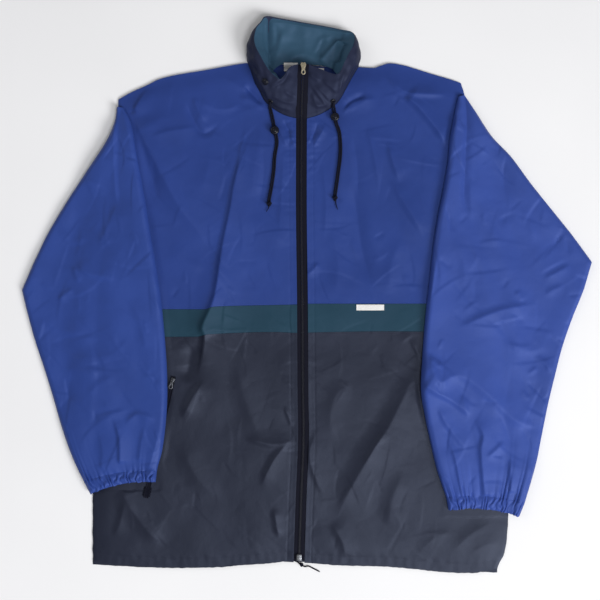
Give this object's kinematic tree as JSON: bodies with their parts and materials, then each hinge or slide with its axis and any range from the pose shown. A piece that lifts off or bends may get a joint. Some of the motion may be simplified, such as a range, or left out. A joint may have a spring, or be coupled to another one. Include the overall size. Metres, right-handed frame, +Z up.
{
  "type": "windbreaker jacket",
  "caption": "Zipped windbreaker jacket laid flat: blue upper and sleeves, teal band, navy lower panels, stand collar with teal lining and drawcords, gathered cuffs.",
  "frame": {"origin": "centre of the jacket's outline on the surface it lies on", "axes": "+Z up from the surface, +Y from the hem to the collar, +X to the right of someone looking down at the front"},
  "size_m": [0.8572, 0.8307, 0.034],
  "materials": {
    "shell_blue": "thin woven nylon with a soft sheen",
    "shell_teal": "thin woven nylon with a soft sheen",
    "shell_navy": "thin woven nylon with a soft sheen",
    "zip_cloth": "woven zip tape, matt",
    "zip_teeth": "dark nylon coil teeth",
    "pale_metal": "pale plated metal, lightly worn",
    "grey_metal": "dark grey plated metal",
    "cord": "braided cord",
    "black_plastic": "moulded plastic, slightly shiny",
    "label_cloth": "plain satin woven label"
  },
  "bodies": {
    "jacket": {"back_upper": "shell_blue", "front_upper_left": "shell_blue", "front_upper_right": "shell_blue", "sleeve_left_top": "shell_blue", "sleeve_left_under": "shell_blue", "sleeve_right_top": "shell_blue", "sleeve_right_under": "shell_blue", "cuff_left_top": "shell_blue", "cuff_left_under": "shell_blue", "cuff_right_top": "shell_blue", "cuff_right_under": "shell_blue", "back_band": "shell_teal", "front_band_left": "shell_teal", "front_band_right": "shell_teal", "collar_lining": "shell_teal", "collar_facing_left": "shell_teal", "collar_facing_right": "shell_teal", "back_lower": "shell_navy", "front_lower_left": "shell_navy", "front_lower_right": "shell_navy", "collar_outer": "shell_navy", "zip_tape_left": "zip_cloth", "zip_tape_right": "zip_cloth", "pocket_zip_left": "zip_cloth", "pocket_zip_right": "zip_cloth", "zip_chain": "zip_teeth", "zip_slider": "pale_metal", "zip_box": "grey_metal", "pocket_slider_left": "grey_metal", "pocket_slider_right": "grey_metal", "pocket_tab_right": "grey_metal", "cord_left_upper_a": "cord", "cord_left_upper_b": "cord", "cord_left_lower_a": "cord", "cord_left_lower_b": "cord", "cord_tail_left": "cord", "cord_right_upper_a": "cord", "cord_right_upper_b": "cord", "cord_right_lower_a": "cord", "cord_right_lower_b": "cord", "cord_tail_right": "cord", "hem_cord": "cord", "cord_knot_left": "cord", "cord_knot_right": "cord", "hem_knot": "cord", "cord_lock_left": "black_plastic", "cord_lock_right": "black_plastic", "cord_eyelet_left": "black_plastic", "cord_eyelet_right": "black_plastic", "collar_snap": "black_plastic", "band_label": "label_cloth", "neck_label": "label_cloth", "hanger_loop": "label_cloth"},
    "zip_pull": {"zip_tab": "pale_metal"},
    "pocket_pull": {"pocket_tab_left": "grey_metal"}
  },
  "joints": [
    {"name": "zip_pull_turn", "type": "hinge", "parent": "jacket", "child": "zip_pull", "pos_m": [-0.00551, 0.33945, 0.0321], "axis": [-1, 0, 0], "range_deg": [0, 160]},
    {"name": "pocket_pull_turn", "type": "hinge", "parent": "jacket", "child": "pocket_pull", "pos_m": [-0.20074, -0.12649, 0.01156], "axis": [-0.9751, 0.2216, 0], "range_deg": [0, 160]}
  ]
}
